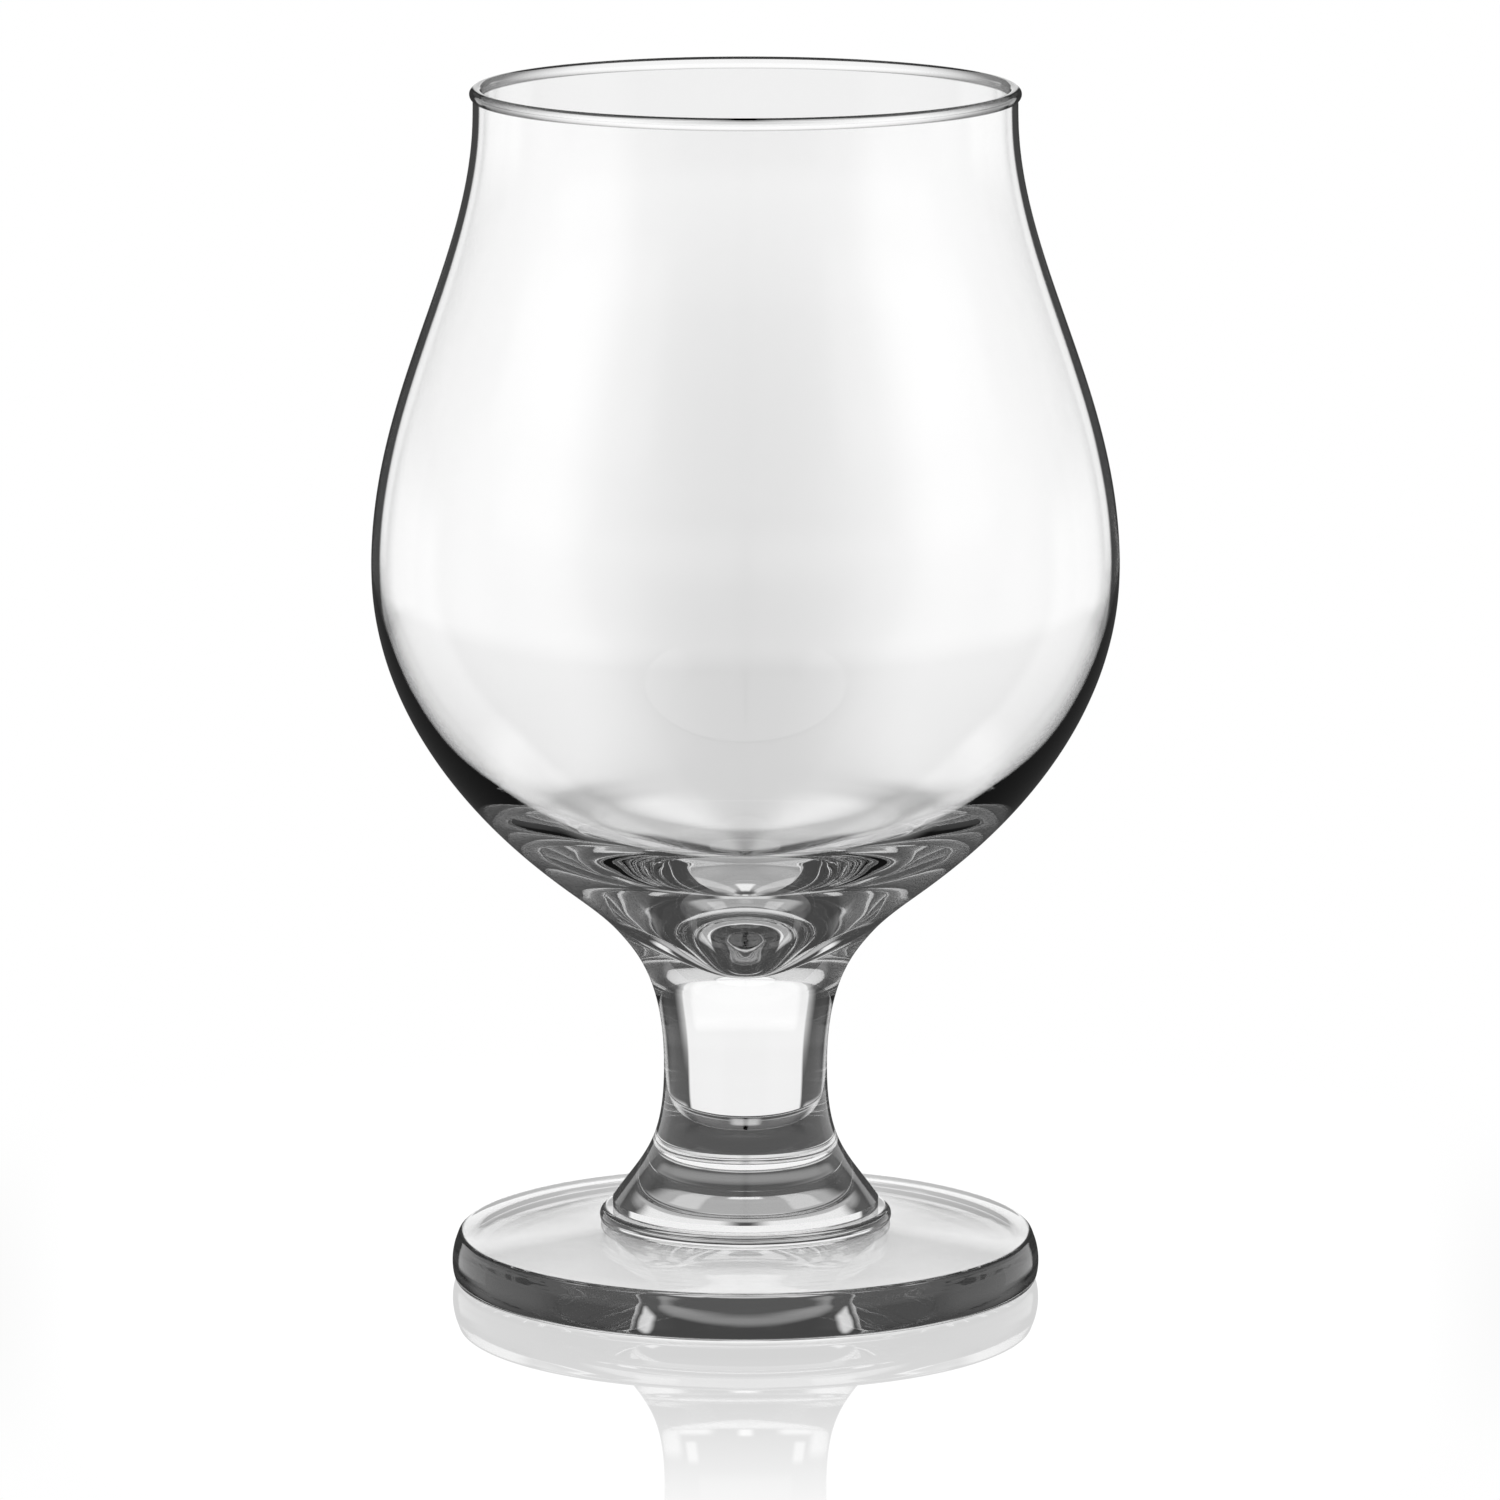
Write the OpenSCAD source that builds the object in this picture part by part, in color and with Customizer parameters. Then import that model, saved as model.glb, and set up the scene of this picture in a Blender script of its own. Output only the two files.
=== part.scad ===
// Tulip beer glass, in millimetres, standing on the plane Z = 0 with its axis
// on Z. A blown bowl is fused to a pressed stem, and the stem to a pressed foot.
// Each piece is a solid of revolution that meets the next on a flat round seam.

/* [Foot] */
// Diameter of the foot
foot_d = 75.1; // [66:0.1:84]
// Height of the foot's shoulder, where its edge turns over into its top
foot_edge_t = 5.95; // [5:0.05:7]
// Rise of the foot's top from its shoulder to the collar
foot_rise = 1.4; // [0.8:0.1:3]
// Width of the round at the foot's lower edge
sole_round_w = 0.6; // [0.3:0.1:2]
// Height of the round at the foot's lower edge
sole_round_h = 2.2; // [0.6:0.1:2.8]
// Inward lean of the foot's edge, from its widest ring to its shoulder
edge_lean = 0.5; // [0.1:0.1:1]
// Size of the round at the shoulder
shoulder_round = 1.1; // [0.4:0.1:1.6]
// Width of the flat ring that the foot stands on, round the hollow under it
rest_w = 1.45; // [0.6:0.05:4]
// Depth of the hollow under the foot
hollow_depth = 2; // [0.6:0.1:3]

/* [Collar] */
// Diameter of the collar that the stem stands on
collar_d = 37.3; // [36:0.1:44]
// Radius of the collar's rounded rim
collar_round = 0.95; // [0.5:0.05:1.2]
// Height of the collar above the foot's top
collar_h = 1.7; // [1.3:0.1:2.2]

/* [Stem] */
// Length of the stem, from the collar to the bowl
stem_len = 30; // [25:0.05:55]
// Diameter of the stem where it stands on the collar
stem_base_d = 34; // [28:0.1:34.8]
// Height of the straight band at the stem's lower end
stem_band_h = 1.15; // [0.6:0.05:3]
// Radius of the round under the straight band
stem_base_round = 0.35; // [0.1:0.05:0.5]
// Angle from upright at which the flare leaves the straight band
flare_angle = 35.5; // [20:0.5:50]
// Diameter of the stem at its waist
waist_d = 20.84; // [14:0.02:26]
// Height of the waist above the collar
waist_h = 18.45; // [12:0.05:22]
// Diameter of the stem where it meets the bowl
stem_top_d = 24.58; // [22:0.02:28]
// Angle from upright at which the stem runs into the bowl
stem_top_angle = 22; // [12:0.5:32]

/* [Bowl] */
// Height of the bowl, from the stem to the rim
bowl_h = 113.95; // [100:0.05:136]
// Diameter of the throat, where the stem's flare runs out into the bowl
throat_d = 32.2; // [29:0.1:38]
// Height of the throat above the stem
throat_h = 5.95; // [4:0.05:8]
// Angle from upright of the throat
throat_angle = 40.5; // [30:0.5:46]
// Diameter of the bowl's underside where its flare ends and its round begins
flank_d = 48.8; // [44:0.1:56]
// Height of that place above the stem
flank_h = 12.95; // [11:0.05:16]
// Angle from upright of the underside at that place
flank_angle = 51.8; // [40:0.1:60]
// Largest diameter of the bowl
belly_d = 94.8; // [80:0.1:110]
// Height of the belly above the stem
belly_h = 52.95; // [46:0.05:60]
// Outer diameter of the neck under the rim
neck_d = 68.66; // [60:0.02:78]
// Depth of the neck's upright end below the rim
neck_drop = 3; // [2:0.1:8]
// Height above the stem of the lowest point inside the bowl
floor_t = 3.4; // [2:0.1:6]
// Diameter inside the bowl at which its round wall runs into a steady slope
slope_d = 45.3; // [38:0.1:50]
// Height of that place above the stem
slope_h = 17.6; // [16:0.05:22]
// Angle from level of the slope at that place
slope_angle = 26.2; // [18:0.1:36]
// Wall of the bowl at the belly
belly_wall = 1.1; // [0.8:0.05:2.5]
// Wall of the bowl at the neck
neck_wall = 0.9; // [0.7:0.05:1.4]

/* [Rim] */
// Distance that the round bead of the rim stands out from the neck's outside
bead_out = 0.42; // [0.2:0.02:0.6]
// Distance that the bead stands in from the neck's inside
bead_in = 0.34; // [0.1:0.02:0.6]

/* [Hidden] */
glass = [0.86, 0.89, 0.9, 0.45];

// Segments round the axis, and points along each curve of an outline
$fn = 180;
long_steps = 16;
short_steps = 8;
round_steps = 6;
bead_steps = 16;

// Heights of the seams and of the main rings above the table
foot_top_z = foot_edge_t + foot_rise;
collar_seam_z = foot_top_z + collar_h;
waist_z = collar_seam_z + waist_h;
bowl_seam_z = collar_seam_z + stem_len;
throat_z = bowl_seam_z + throat_h;
flank_z = bowl_seam_z + flank_h;
slope_z = bowl_seam_z + slope_h;
floor_z = bowl_seam_z + floor_t;
belly_z = bowl_seam_z + belly_h;
rim_z = bowl_seam_z + bowl_h;
neck_z = rim_z - neck_drop;

// Radii of the main rings
foot_r = foot_d / 2;
hollow_r = foot_r - sole_round_w - rest_w;
collar_r = collar_d / 2 - collar_round;
stem_base_r = stem_base_d / 2;
stem_top_r = stem_top_d / 2;
neck_r = neck_d / 2;
neck_inner_r = neck_r - neck_wall;
bead_r = (bead_out + neck_wall + bead_in) / 2;

// Centre of the bead's section, and the places where the neck's outer and
// inner walls run into it
full_turn = 360;
bead_c = [neck_r + bead_out - bead_r, rim_z - bead_r];
bead_outer_angle = -acos((neck_r - bead_c.x) / bead_r);
bead_inner_angle = full_turn - acos((neck_inner_r - bead_c.x) / bead_r);

// Directions along an outline, in degrees from straight up towards outward
up = 0;
outward = 90;
down = 180;
inward = -90;

// Angles of an arc's lowest, outermost and highest points, counted from
// outward towards up
arc_bottom = -90;
arc_side = 0;
arc_top = 90;

// How far each curve keeps its direction at its two ends, as a share of the
// straight distance between them. An even curve keeps it for a third.
even_share = 0.33;
round_share = 0.55;
flare_shares = [0.37, 0.55];
stem_top_shares = [0.45, 0.245];
throat_shares = [0.455, 0.235];
flank_shares = [0.13, 0.475];
neck_shares = [0.38, 0.32];
slope_shares = [0.295, 0.395];
floor_shares = [0.785, 0.17];

function heading(angle) = [sin(angle), cos(angle)];

// Cubic curve from a to b that sets out and arrives in the given directions.
// It leaves out the point a, so that curves can be joined end to end.
function curve(a, a_dir, b, b_dir, shares, steps) =
    let (
        reach = norm(b - a),
        p = a + reach * shares[0] * heading(a_dir),
        q = b - reach * shares[1] * heading(b_dir)
    )
    [for (i = [1 : steps])
        let (t = i / steps, s = 1 - t)
        s * s * s * a + 3 * s * s * t * p + 3 * s * t * t * q + t * t * t * b];

// Arc round the centre c, with both of its ends. It reaches size.x outward
// and size.y up.
function arc(c, size, from, to, steps) =
    [for (i = [0 : steps])
        let (angle = from + (to - from) * i / steps)
        c + [size.x * cos(angle), size.y * sin(angle)]];

// Outline of the foot, from the middle of its hollow round to its flat top
function foot_outline() =
    let (
        hollow_mid = [0, hollow_depth],
        hollow_edge = [hollow_r, 0],
        hollow_slope = 2 * atan(hollow_depth / hollow_r),
        sole_c = [foot_r - sole_round_w, sole_round_h],
        sole_size = [sole_round_w, sole_round_h],
        widest = [foot_r, sole_round_h],
        edge_top = [foot_r - edge_lean, foot_edge_t - shoulder_round],
        shoulder = edge_top + shoulder_round * [-1, 1],
        collar_c = [collar_r, collar_seam_z - collar_round],
        collar_angle = -asin(min(1, (collar_h - collar_round) / collar_round)),
        collar_foot = [collar_r + collar_round * cos(collar_angle), foot_top_z],
        edge_angle = -2 * atan(edge_lean / (edge_top.y - widest.y)),
        top_angle = inward + atan(foot_rise / (shoulder.x - collar_foot.x))
    )
    concat(
        [hollow_mid],
        curve(hollow_mid, outward, hollow_edge, outward + hollow_slope,
            [even_share, even_share], long_steps),
        arc(sole_c, sole_size, arc_bottom, arc_side, round_steps),
        curve(widest, up, edge_top, edge_angle,
            [even_share, even_share], round_steps),
        curve(edge_top, edge_angle, shoulder, top_angle,
            [round_share, round_share], round_steps),
        arc(collar_c, collar_round * [1, 1], collar_angle, arc_top, short_steps),
        [[0, collar_seam_z]]
    );

// Outline of the stem, from the collar up to the bowl
function stem_outline() =
    let (
        base_c = [stem_base_r - stem_base_round, collar_seam_z + stem_base_round],
        band_top = [stem_base_r, collar_seam_z + stem_band_h],
        waist = [waist_d / 2, waist_z],
        top = [stem_top_r, bowl_seam_z]
    )
    concat(
        [[0, collar_seam_z]],
        arc(base_c, stem_base_round * [1, 1], arc_bottom, arc_side, round_steps),
        [band_top],
        curve(band_top, -flare_angle, waist, up, flare_shares, long_steps),
        curve(waist, up, top, stem_top_angle, stem_top_shares, long_steps),
        [[0, bowl_seam_z]]
    );

// Outline of the bowl, up its outside, over the bead and down its inside
function bowl_outline() =
    let (
        seam = [stem_top_r, bowl_seam_z],
        throat = [throat_d / 2, throat_z],
        flank = [flank_d / 2, flank_z],
        belly = [belly_d / 2, belly_z],
        neck = [neck_r, neck_z],
        neck_inner = [neck_inner_r, neck_z],
        belly_inner = [belly_d / 2 - belly_wall, belly_z],
        slope_top = [slope_d / 2, slope_z],
        floor_mid = [0, floor_z],
        sloping = inward - slope_angle
    )
    concat(
        [[0, bowl_seam_z], seam],
        curve(seam, stem_top_angle, throat, throat_angle, throat_shares, short_steps),
        curve(throat, throat_angle, flank, flank_angle,
            [even_share, even_share], short_steps),
        curve(flank, flank_angle, belly, up, flank_shares, long_steps),
        curve(belly, up, neck, up, neck_shares, long_steps),
        arc(bead_c, bead_r * [1, 1], bead_outer_angle, bead_inner_angle, bead_steps),
        [neck_inner],
        curve(neck_inner, down, belly_inner, down,
            [neck_shares[1], neck_shares[0]], long_steps),
        curve(belly_inner, down, slope_top, sloping, slope_shares, long_steps),
        curve(slope_top, sloping, floor_mid, inward, floor_shares, long_steps)
    );

module turned(outline) {
    color(glass)
        rotate_extrude()
            polygon(outline);
}

// Pressed disc with a collar, which carries the stem
module foot() {
    turned(foot_outline());
}

// Solid stem with a waist
module stem() {
    turned(stem_outline());
}

// Thin blown bowl with a solid floor and a beaded rim
module bowl() {
    turned(bowl_outline());
}

foot();
stem();
bowl();
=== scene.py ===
"""Looks of a clear tulip beer glass.

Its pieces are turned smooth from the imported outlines, get their glass, and stand in a studio.
"""

import math

import bmesh
import bpy
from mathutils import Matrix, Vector

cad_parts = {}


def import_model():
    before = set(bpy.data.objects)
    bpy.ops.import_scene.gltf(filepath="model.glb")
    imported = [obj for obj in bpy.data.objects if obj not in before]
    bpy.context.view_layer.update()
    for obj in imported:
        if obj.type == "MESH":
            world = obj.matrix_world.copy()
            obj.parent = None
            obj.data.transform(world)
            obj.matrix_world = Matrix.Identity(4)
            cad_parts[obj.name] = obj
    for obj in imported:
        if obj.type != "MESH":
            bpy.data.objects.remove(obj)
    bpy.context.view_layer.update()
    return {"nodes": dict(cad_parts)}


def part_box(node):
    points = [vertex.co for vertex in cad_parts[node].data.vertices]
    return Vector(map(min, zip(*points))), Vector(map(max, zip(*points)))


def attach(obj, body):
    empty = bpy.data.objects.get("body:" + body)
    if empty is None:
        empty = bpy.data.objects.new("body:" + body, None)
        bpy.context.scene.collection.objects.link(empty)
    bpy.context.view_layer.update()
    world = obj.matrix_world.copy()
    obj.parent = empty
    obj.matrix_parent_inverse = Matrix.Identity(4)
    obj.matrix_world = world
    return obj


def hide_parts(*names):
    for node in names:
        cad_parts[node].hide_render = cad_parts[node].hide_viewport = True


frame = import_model()

# Sizes in metres and angles in degrees
MM = 0.001
SAME_PLACE = 0.005 * MM
STRAIGHT = 0.01
CORNER = 30.0
LONG_SIDE = 5.0
FINEST_SIDE = 1.1 * MM
FINEST_TURN = 3.5
SEGMENTS = 192

# The glass, and the width and depth of the swells in its surface
CLEAR = (0.995, 0.995, 0.995, 1)
GLASS_IOR = 1.52
BLOWN_SWELL = (30 * MM, 0.02 * MM)
PRESSED_SWELL = (12 * MM, 0.01 * MM)

# Painted shade at the edges of the rim's bead: the dark colour its glass takes there, the Layer Weight
# facing between which it sets in, and its height
BEAD_PAINTED_SHADE = (0.1, 0.1, 0.1, 1)
BEAD_EDGE = (0.15, 0.62)
BEAD_HEIGHT = 1.55 * MM
BEAD_FADE = 0.1 * MM

# The white floor, and how far out on it the mirror image of the glass fades
WHITE = (1, 1, 1, 1)
FLOOR_HALF = 3.0
FLOOR_LOW = -0.3 * MM
FLOOR_ROUGHNESS = 0.02
MIRROR = 0.36
MIRROR_FADES = (45 * MM, 150 * MM)

# The tent round the glass
TENT_RADIUS = 2.5
TENT_MIDDLE = (0, 0, 0.07)

# The camera
CAMERA_PLACE = (0, -1.3029, 0.3028)
CAMERA_DOWN = 10.203
LENS = 250.0
SENSOR_WIDTH = 36.0
SHIFT_X = 0.003
CLIP_END = 20.0

# Lit patches of the tent as (strength, sides, heights, softness), in degrees to either side of straight back
# and up from level. The first two lists are for light that goes straight through the hollow bowl or through
# solid glass, the next three for light that the bowl's walls turn back, or solid glass once or again and
# again, and the last for light that the outside of the glass and the floor mirror.
DARK_CLOTH = 0.058
THROUGH_BOWL = (
    (1.07, (0, 190), (-9.5, 80), 3),
    (1.06, (0, 190), (-16, 80), 4),
    (0.97, (0, 190), (-28, 80), 4),
    (0.60, (0, 8), (-39, 80), 3),
    (0.97, (48, 190), (-75, 80), 8),
)
THROUGH_SOLID = (
    (1.06, (0, 34), (-10, 80), 10),
    (0.95, (0, 34), (-31, 80), 1.5),
    (0.95, (68, 190), (-75, 80), 6),
    (0.95, (38, 190), (-75, -27), 3),
)
TURNED_IN_BOWL = (
    (0.80, (0, 125), (-60, 90), 12),
    (0.40, (0, 180), (0, 90), 12),
)
TURNED_ONCE = (
    (1.00, (0, 3), (-32, -14), 2),
    (0.25, (0, 26), (9, 15.5), 2.5),
    (0.75, (25, 33), (-7.5, 5), 2),
    (0.55, (0, 12), (24, 46), 3),
    (0.65, (12, 32), (22, 50), 3),
    (0.85, (16, 40), (-48, -16), 4),
    (0.55, (0, 16), (-48, -34), 4),
    (0.80, (38, 70), (-48, 2), 5),
    (1.00, (82, 150), (18, 90), 8),
    (0.45, (95, 180), (-2, 90), 6),
    (1.00, (0, 180), (60, 90), 5),
)
TURNED_AGAIN = (
    (0.85, (3, 26), (20, 32), 3),
    (0.45, (0, 32), (28, 55), 4),
    (0.70, (0, 10), (-24, -8), 3),
    (0.40, (0, 26), (-60, -20), 4),
    (0.90, (0, 6), (-61, -50), 2),
    (0.60, (10, 20), (-60, -30), 2),
)
OUTSIDE = (
    (1.15, (0, 7), (-6, 15), 2),
    (0.60, (0, 5), (-15, 20), 2),
    (1.00, (27, 60), (-2, 9), 2),
    (1.05, (28, 60), (-12, 12), 2),
    (0.90, (45, 100), (-22, 25), 15),
    (0.35, (60, 150), (-30, 90), 8),
    (1.10, (50, 85), (-75, -38), 5),
    (0.90, (70, 180), (28, 90), 12),
    (0.85, (80, 190), (4, 40), 6),
)

# The backdrop behind the bowl is greyer in its middle
GREY = 0.235
GREY_SIDES = (2.5, 0.2)
GREY_HEIGHTS = (-3.2, -9.0)


# Outlines

def turn_between(a, b):
    """Angle in degrees from the direction a to the direction b."""
    return abs(math.degrees(a.angle_signed(b)))


def folded_outline(node):
    """Outline of a turned CAD node as points (radius, height), in order from its underside to its top.

    The node's mesh is folded flat about its axis, so that each ring of it becomes one point.
    """
    mesh = bmesh.new()
    mesh.from_mesh(frame["nodes"][node].data)
    for corner in mesh.verts:
        corner.co = (math.hypot(corner.co.x, corner.co.y), 0, corner.co.z)
    bmesh.ops.remove_doubles(mesh, verts=mesh.verts, dist=SAME_PLACE)
    ends = [corner for corner in mesh.verts if len(corner.link_edges) == 1]
    here = min(ends, key=lambda corner: (round(corner.co.z, 6), corner.co.x))
    chain = []
    while here is not None:
        chain.append(here)
        beyond = [edge.other_vert(here) for edge in here.link_edges]
        here = next((corner for corner in beyond if corner not in chain), None)
    points = [Vector((corner.co.x, corner.co.z)) for corner in chain]
    mesh.free()
    return points


def without_straight_points(points):
    """The points at which the outline turns, and its two ends."""
    kept = [points[0]]
    for here, after in zip(points[1:], points[2:]):
        if turn_between(here - kept[-1], after - here) > STRAIGHT:
            kept.append(here)
    return kept + [points[-1]]


def tangents(points):
    """Direction of the outline at each end of each side.

    It jumps at corners, and a long side beside short ones is straight. Where the outline meets the axis it
    is level, so that the turned piece has no point there.
    """
    sides = [b - a for a, b in zip(points, points[1:])]
    leaving, arriving = [None] * len(sides), [None] * len(sides)
    for i, (a, b) in enumerate(zip(sides, sides[1:])):
        if turn_between(a, b) > CORNER:
            continue
        if a.length > LONG_SIDE * b.length:
            shared = a.normalized()
        elif b.length > LONG_SIDE * a.length:
            shared = b.normalized()
        else:
            shared = (a.normalized() * b.length + b.normalized() * a.length).normalized()
        arriving[i] = leaving[i + 1] = shared
    if points[0].x < SAME_PLACE:
        leaving[0] = Vector((1, 0))
    if points[-1].x < SAME_PLACE:
        arriving[-1] = Vector((-1, 0))
    for i, side in enumerate(sides):
        along = side.normalized()
        if leaving[i] is None and arriving[i] is None:
            leaving[i] = arriving[i] = along
        elif leaving[i] is None:
            leaving[i] = 2 * along.dot(arriving[i]) * along - arriving[i]
        elif arriving[i] is None:
            arriving[i] = 2 * along.dot(leaving[i]) * along - leaving[i]
    return sides, leaving, arriving


def smooth_outline(points):
    """The outline with enough points on each curved side to look round."""
    sides, leaving, arriving = tangents(points)
    fine = [points[0]]
    for a, b, side, start, end in zip(points, points[1:], sides, leaving, arriving):
        turn = turn_between(start, end)
        steps = 1
        if turn > STRAIGHT:
            steps = math.ceil(max(side.length / FINEST_SIDE, turn / FINEST_TURN))
        for i in range(1, steps + 1):
            t = i / steps
            s = 1 - t
            fine.append(
                a * (s * s * (1 + 2 * t)) + b * (t * t * (1 + 2 * s))
                + side.length * (start * (s * s * t) - end * (t * t * s))
            )
    return fine


def whole_outline(node, seam_radius=None):
    """A node's smooth outline, closed at the axis.

    If a smaller piece stands on its flat top, the outline has a point where that seam ends.
    """
    points = smooth_outline(without_straight_points(folded_outline(node)))
    if points[0].x > SAME_PLACE:
        points.insert(0, Vector((0, points[0].y)))
    if points[-1].x > SAME_PLACE:
        if seam_radius:
            points.append(Vector((seam_radius, points[-1].y)))
        points.append(Vector((0, points[-1].y)))
    return points


# Node trees

class Tree:
    """A node tree in the making. Calling it adds a node and links or sets its inputs."""

    def __init__(self, tree):
        self.tree = tree

    def __call__(self, kind, *inputs, **settings):
        node = self.tree.nodes.new(kind)
        named = settings.pop("sockets", {})
        for key, value in settings.items():
            setattr(node, key, value)
        for key, value in [*enumerate(inputs), *named.items()]:
            if value is None:
                continue
            if isinstance(value, bpy.types.NodeSocket):
                self.tree.links.new(value, node.inputs[key])
            else:
                node.inputs[key].default_value = value
        return node

    def math(self, operation, *inputs):
        return self("ShaderNodeMath", *inputs, operation=operation).outputs[0]

    def mix(self, factor, first, second):
        """The first number where the factor is 0, and the second where it is 1."""
        return self("ShaderNodeMix", factor, sockets={2: first, 3: second}).outputs[0]

    def soft_step(self, value, start, end, low=0.0, high=1.0):
        """Soft step from low to high as value goes from start to end."""
        step = self("ShaderNodeMapRange", value, start, end, low, high, interpolation_type="SMOOTHSTEP")
        return step.outputs[0]


# Turning

def turning_tree():
    """Geometry nodes that turn an outline, a chain of points over the X axis, into a closed round piece."""
    group = bpy.data.node_groups.new("Turned piece", "GeometryNodeTree")
    for name, kind in (
        ("Outline", "NodeSocketGeometry"),
        ("Segments", "NodeSocketInt"),
        ("Glass", "NodeSocketMaterial"),
        ("Seam", "NodeSocketMaterial"),
        ("Lower seam height", "NodeSocketFloat"),
        ("Upper seam height", "NodeSocketFloat"),
        ("Seam radius", "NodeSocketFloat"),
    ):
        group.interface.new_socket(name, in_out="INPUT", socket_type=kind)
    group.interface.new_socket("Piece", in_out="OUTPUT", socket_type="NodeSocketGeometry")
    add = Tree(group)
    given = add("NodeGroupInput").outputs
    place = add("GeometryNodeInputPosition").outputs[0]

    # A grid with a column for each point of the outline, rolled up round the axis
    count = add("GeometryNodeAttributeDomainSize", given["Outline"], component="MESH")
    rows = add.math("ADD", given["Segments"], 1)
    grid = add("GeometryNodeMeshGrid", 1, 1, count.outputs["Point Count"], rows).outputs["Mesh"]
    index = add("GeometryNodeInputIndex").outputs[0]
    column = add.math("FLOOR", add.math("DIVIDE", add.math("ADD", index, 0.5), rows))
    row = add.math("SUBTRACT", index, add.math("MULTIPLY", column, rows))
    sample = add("GeometryNodeSampleIndex", given["Outline"], data_type="FLOAT_VECTOR", domain="POINT")
    group.links.new(place, sample.inputs["Value"])
    group.links.new(column, sample.inputs["Index"])
    outline = add("ShaderNodeSeparateXYZ", sample.outputs[0]).outputs
    angle = add.math("MULTIPLY", row, add.math("DIVIDE", math.tau, given["Segments"]))
    rolled = add(
        "ShaderNodeCombineXYZ",
        add.math("MULTIPLY", outline["X"], add.math("COSINE", angle)),
        add.math("MULTIPLY", outline["X"], add.math("SINE", angle)),
        outline["Z"],
    ).outputs[0]
    piece = add("GeometryNodeSetPosition", grid, None, rolled).outputs[0]
    piece = add("GeometryNodeMergeByDistance", piece, sockets={"Distance": SAME_PLACE / 5}).outputs[0]
    piece = add("GeometryNodeFlipFaces", piece).outputs[0]

    # Smooth all over, but for its corners
    bend = add("GeometryNodeInputMeshEdgeAngle").outputs["Unsigned Angle"]
    sharp = add.math("GREATER_THAN", bend, math.radians(CORNER))
    piece = add("GeometryNodeSetShadeSmooth", piece, None, True, domain="FACE").outputs[0]
    piece = add("GeometryNodeSetShadeSmooth", piece, sharp, False, domain="EDGE").outputs[0]

    # The seams are the faces at a seam's height, inside its radius
    spot = add("ShaderNodeSeparateXYZ", place).outputs
    level = [
        add.math("COMPARE", spot["Z"], given[name], SAME_PLACE)
        for name in ("Lower seam height", "Upper seam height")
    ]
    squares = [add.math("POWER", spot[axis], 2) for axis in ("X", "Y")]
    radius = add.math("SQRT", add.math("ADD", *squares))
    inside = add.math("LESS_THAN", radius, given["Seam radius"])
    fused = add.math("MULTIPLY", add.math("MAXIMUM", *level), inside)
    piece = add("GeometryNodeSetMaterial", piece, None, given["Glass"]).outputs[0]
    piece = add("GeometryNodeRealizeInstances", piece).outputs[0]
    piece = add("GeometryNodeSetMaterial", piece, fused, given["Seam"]).outputs[0]
    add("NodeGroupOutput", piece)
    return group


def turned(name, points, tree, **inputs):
    """A plain mesh object turned from an outline, standing where the CAD node stands."""
    outline = bpy.data.meshes.new(name + "_outline")
    chain = [(i, i + 1) for i in range(len(points) - 1)]
    outline.from_pydata([(p.x, 0, p.y) for p in points], chain, [])
    piece = bpy.data.objects.new(name, outline)
    bpy.context.scene.collection.objects.link(piece)
    modifier = piece.modifiers.new("Turning", "NODES")
    modifier.node_group = tree
    for socket in tree.interface.items_tree:
        if socket.name in inputs:
            modifier[socket.identifier] = inputs[socket.name]
    shaped = piece.evaluated_get(bpy.context.evaluated_depsgraph_get())
    mesh = bpy.data.meshes.new_from_object(shaped)
    piece.modifiers.clear()
    piece.data = mesh
    mesh.name = name
    bpy.data.meshes.remove(outline)
    return piece


# Materials

def material(name):
    made = bpy.data.materials.new(name)
    made.use_nodes = True
    made.node_tree.nodes.clear()
    return made, Tree(made.node_tree)


def clear_glass(name, width, depth):
    """Clear glass whose surface swells a little, as fire-polished glass does."""
    made, add = material(name)
    place = add("ShaderNodeTexCoord").outputs["Object"]
    swell = add("ShaderNodeTexNoise", place, sockets={"Scale": 1 / width, "Detail": 2.0}).outputs[0]
    bump = add("ShaderNodeBump", sockets={"Strength": 1.0, "Distance": depth, "Height": swell}).outputs[0]
    shell = add("ShaderNodeBsdfPrincipled", sockets={
        "Base Color": CLEAR,
        "Roughness": 0.0,
        "IOR": GLASS_IOR,
        "Transmission Weight": 1.0,
        "Normal": bump,
    })
    add("ShaderNodeOutputMaterial", shell.outputs[0])
    return made, add, shell


def paint_bead_shade(add, shell, bead_low):
    """Painted shade: the bead's glass turns dark where it is seen nearly edge on, standing in for the dark
    that its refraction shows.
    """
    height = add("ShaderNodeSeparateXYZ", add("ShaderNodeTexCoord").outputs["Object"]).outputs["Z"]
    bead_start, bead_full = bead_low - BEAD_FADE, bead_low + BEAD_FADE
    bead = add("ShaderNodeMapRange", height, bead_start, bead_full, 0.0, 1.0).outputs[0]
    edge = add.soft_step(add("ShaderNodeLayerWeight").outputs["Facing"], *BEAD_EDGE)
    edge = add.math("MULTIPLY", edge, bead)
    # Painted shade: the glass's colour goes dark towards the bead's edges
    painted_bead_shade = add("ShaderNodeMix", edge, sockets={6: CLEAR, 7: BEAD_PAINTED_SHADE}, data_type="RGBA").outputs[2]
    add.tree.links.new(painted_bead_shade, shell.inputs["Base Color"])


def fused_seam():
    """Where two pieces are fused, light goes straight through."""
    made, add = material("fused_seam")
    add("ShaderNodeOutputMaterial", add("ShaderNodeBsdfTransparent").outputs[0])
    return made


# Pieces

blown, blown_nodes, blown_shell = clear_glass("blown_glass", *BLOWN_SWELL)
# The bowl's bead gets painted shade at its edges
paint_bead_shade(blown_nodes, blown_shell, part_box("bowl")[1].z - BEAD_HEIGHT)
pressed, *_ = clear_glass("pressed_glass", *PRESSED_SWELL)
seam = fused_seam()
turning = turning_tree()

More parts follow.
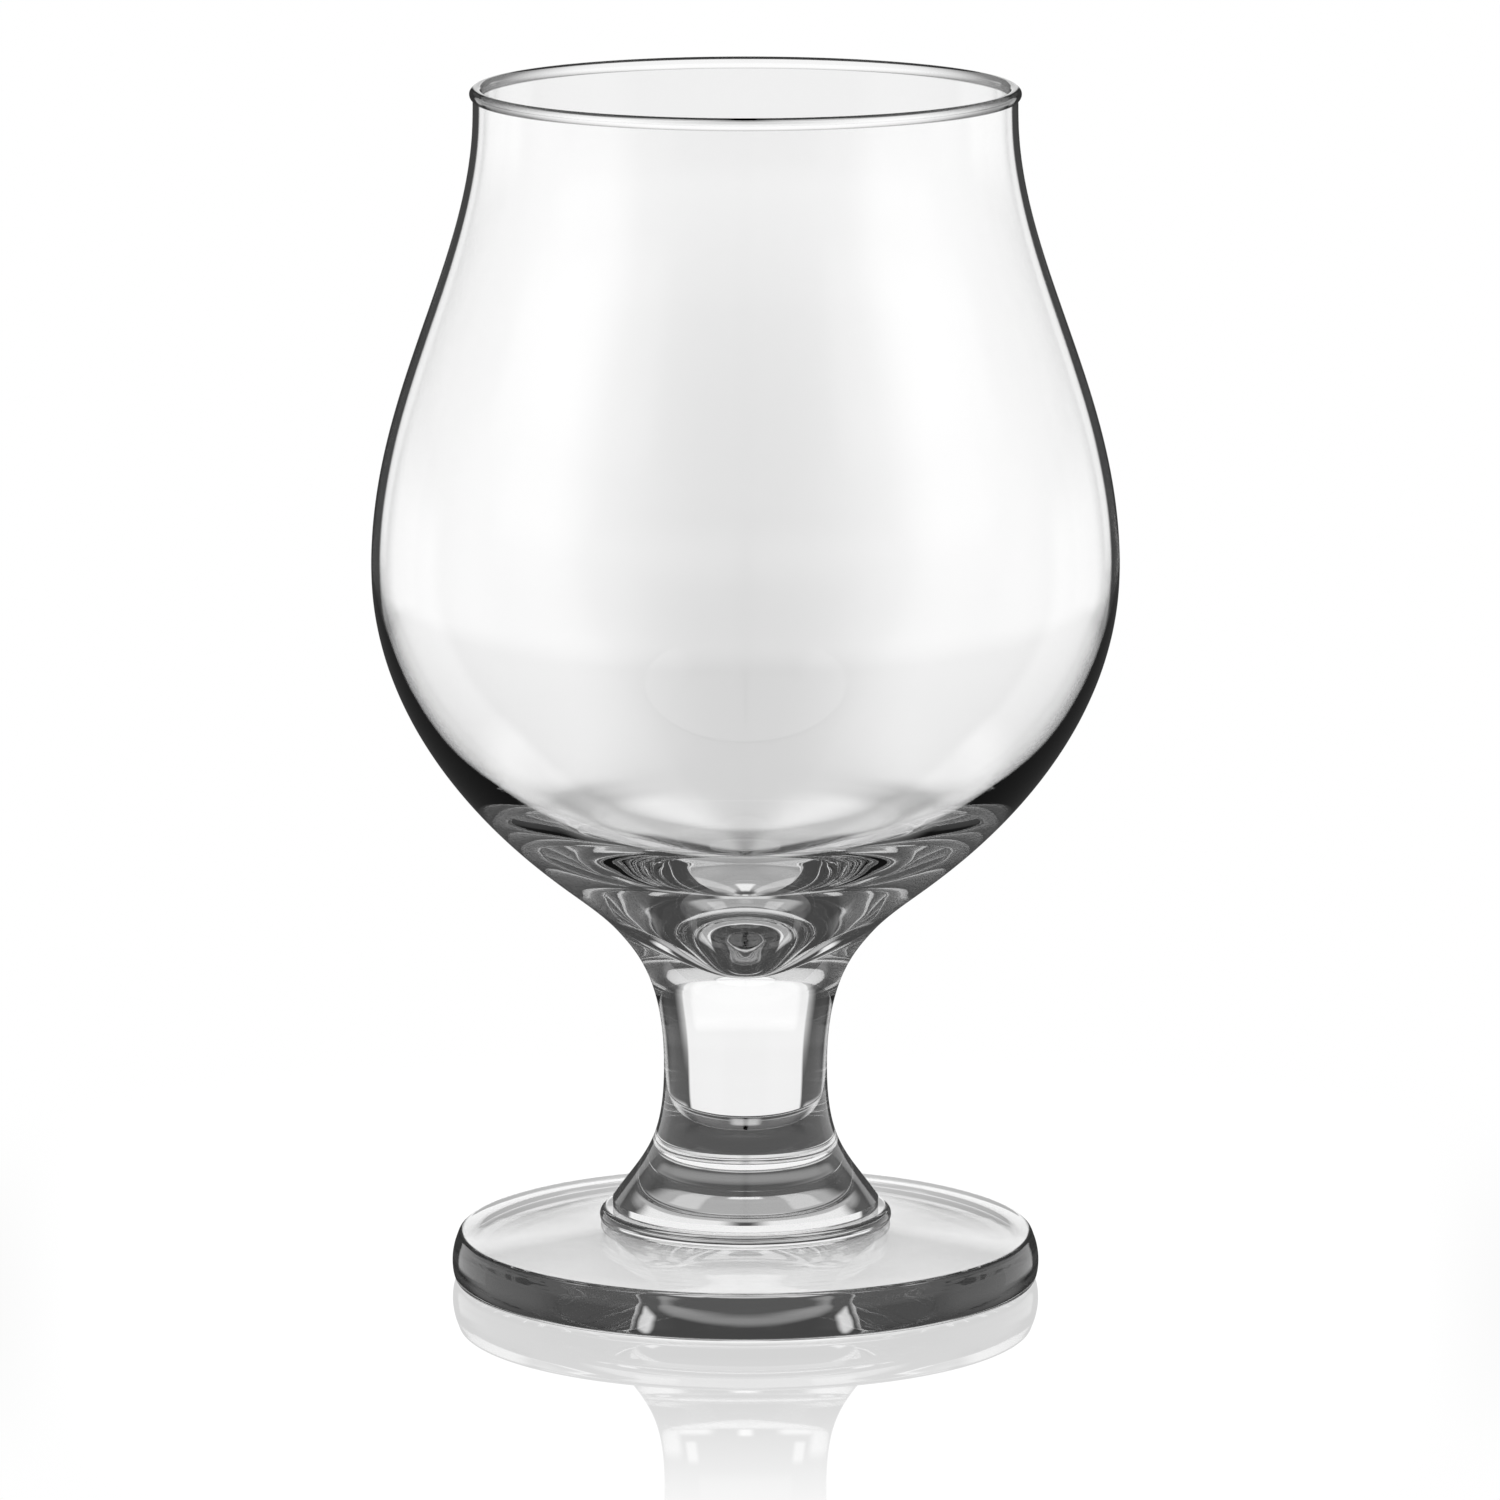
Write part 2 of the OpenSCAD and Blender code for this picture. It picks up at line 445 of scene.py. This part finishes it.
stem_low, stem_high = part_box("stem")
collar_seam, bowl_seam = stem_low.z, stem_high.z
stem_outline = whole_outline("stem")
foot_seam_radius = stem_outline[1].x
bowl_seam_radius = stem_outline[-2].x

foot = turned("pressed_foot", whole_outline("foot", foot_seam_radius), turning, **{
    "Segments": SEGMENTS, "Glass": pressed, "Seam": seam,
    "Lower seam height": collar_seam, "Upper seam height": collar_seam, "Seam radius": foot_seam_radius,
})
stem = turned("pressed_stem", stem_outline, turning, **{
    "Segments": SEGMENTS, "Glass": pressed, "Seam": seam,
    "Lower seam height": collar_seam, "Upper seam height": bowl_seam, "Seam radius": foot_seam_radius,
})
bowl = turned("blown_bowl", whole_outline("bowl"), turning, **{
    "Segments": SEGMENTS, "Glass": blown, "Seam": seam,
    "Lower seam height": bowl_seam, "Upper seam height": bowl_seam, "Seam radius": bowl_seam_radius,
})
for piece, node in ((foot, "foot"), (stem, "stem"), (bowl, "bowl")):
    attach(piece, "root")
    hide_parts(node)


# Studio

def floor():
    """White sheet that mirrors the glass faintly. Seen through glass, the tent stands in for it."""
    mesh = bpy.data.meshes.new("floor")
    corners = [
        (x * FLOOR_HALF, y * FLOOR_HALF, FLOOR_LOW)
        for x, y in ((-1, -1), (1, -1), (1, 1), (-1, 1))
    ]
    mesh.from_pydata(corners, [], [(0, 1, 2, 3)])
    made = bpy.data.objects.new("floor", mesh)
    bpy.context.scene.collection.objects.link(made)
    paint, add = material("floor_sheet")
    place = add("ShaderNodeTexCoord").outputs["Object"]
    far = add("ShaderNodeVectorMath", place, operation="LENGTH").outputs["Value"]
    mirror = add.soft_step(far, *MIRROR_FADES, MIRROR, 0.0)
    glow = add("ShaderNodeEmission", WHITE, 1.0).outputs[0]
    gloss = add("ShaderNodeBsdfGlossy", WHITE, FLOOR_ROUGHNESS).outputs[0]
    add("ShaderNodeOutputMaterial", add("ShaderNodeMixShader", mirror, glow, gloss).outputs[0])
    mesh.materials.append(paint)
    made.visible_transmission = made.visible_glossy = made.visible_diffuse = made.visible_shadow = False


def world():
    """White all round, with enough bounces for light that goes to and fro in the glass."""
    made = bpy.data.worlds.new("studio")
    made.use_nodes = True
    made.node_tree.nodes.clear()
    add = Tree(made.node_tree)
    add("ShaderNodeOutputWorld", add("ShaderNodeBackground", WHITE, 1.0).outputs[0])
    bpy.context.scene.world = made
    cycles = bpy.context.scene.cycles
    cycles.max_bounces = 24
    cycles.glossy_bounces = 16
    cycles.transmission_bounces = 24


class Cloth:
    """Paint of the tent, by direction from its middle: how far to the side of straight back, how high."""

    def __init__(self, add):
        self.add = add
        place = add("ShaderNodeTexCoord").outputs["Object"]
        way = add("ShaderNodeVectorMath", place, operation="NORMALIZE").outputs[0]
        part = add("ShaderNodeSeparateXYZ", way).outputs
        self.side = add.math("ABSOLUTE", add.math("ARCTAN2", part["X"], part["Y"]))
        self.height = add.math("ARCSINE", part["Z"])

    def ramp(self, angle, start, end, low=0.0, high=1.0):
        """Soft step from low to high as the angle goes from start to end, in degrees."""
        return self.add.soft_step(angle, math.radians(start), math.radians(end), low, high)

    def lit(self, strength, sides, heights, soft):
        """A lit patch between two sides and two heights, in degrees, with its edges as soft as given."""
        patch = self.ramp(self.side, sides[1] + soft, sides[1] - soft, 0.0, strength)
        edges = []
        if sides[0] > 0:
            edges.append(self.ramp(self.side, sides[0] - soft, sides[0] + soft))
        if heights[0] > -90:
            edges.append(self.ramp(self.height, heights[0] - soft, heights[0] + soft))
        if heights[1] < 90:
            edges.append(self.ramp(self.height, heights[1] + soft, heights[1] - soft))
        for edge in edges:
            patch = self.add.math("MULTIPLY", patch, edge)
        return patch

    def painted(self, patches):
        """The brightest of some lit patches, or the dark cloth where there are none."""
        strength = DARK_CLOTH
        for patch in patches:
            strength = self.add.math("MAXIMUM", self.lit(*patch), strength)
        return strength


def tent():
    """Dark cloth all round, lit in patches. It stands still, and shows only in the glass."""
    mesh = bpy.data.meshes.new("tent")
    shell = bmesh.new()
    bmesh.ops.create_uvsphere(shell, u_segments=96, v_segments=48, radius=TENT_RADIUS)
    shell.to_mesh(mesh)
    shell.free()
    made = bpy.data.objects.new("tent", mesh)
    bpy.context.scene.collection.objects.link(made)
    made.location = TENT_MIDDLE
    made.visible_camera = made.visible_diffuse = made.visible_shadow = False
    paint, add = material("tent_cloth")
    cloth = Cloth(add)

    # How the light has travelled
    path = add("ShaderNodeLightPath").outputs
    mirrored = add.math("GREATER_THAN", path["Glossy Depth"], 0.5)
    again = add.math("GREATER_THAN", path["Glossy Depth"], 1.5)
    entered = add.math("GREATER_THAN", path["Transmission Depth"], 0.5)
    hollow = add.math("GREATER_THAN", path["Transmission Depth"], 2.5)

    # What it sees of the tent
    grey = add.math(
        "MULTIPLY",
        cloth.ramp(cloth.side, *GREY_SIDES),
        cloth.ramp(cloth.height, *GREY_HEIGHTS, 0.0, GREY),
    )
    through_bowl = add.math("SUBTRACT", cloth.painted(THROUGH_BOWL), grey)
    straight = add.mix(hollow, cloth.painted(THROUGH_SOLID), through_bowl)
    in_solid = add.mix(again, cloth.painted(TURNED_ONCE), cloth.painted(TURNED_AGAIN))
    inside = add.mix(hollow, in_solid, cloth.painted(TURNED_IN_BOWL))
    turned_back = add.mix(entered, cloth.painted(OUTSIDE), inside)
    strength = add.mix(mirrored, straight, turned_back)
    add("ShaderNodeOutputMaterial", add("ShaderNodeEmission", WHITE, strength).outputs[0])
    mesh.materials.append(paint)


def camera():
    data = bpy.data.cameras.new("camera")
    data.lens = LENS
    data.sensor_width = SENSOR_WIDTH
    data.shift_x = SHIFT_X
    data.clip_end = CLIP_END
    made = bpy.data.objects.new("camera", data)
    made.location = CAMERA_PLACE
    made.rotation_euler = (math.radians(90 - CAMERA_DOWN), 0, 0)
    bpy.context.scene.collection.objects.link(made)
    bpy.context.scene.camera = made


floor()
world()
tent()
camera()
bpy.context.scene.view_settings.view_transform = "Standard"
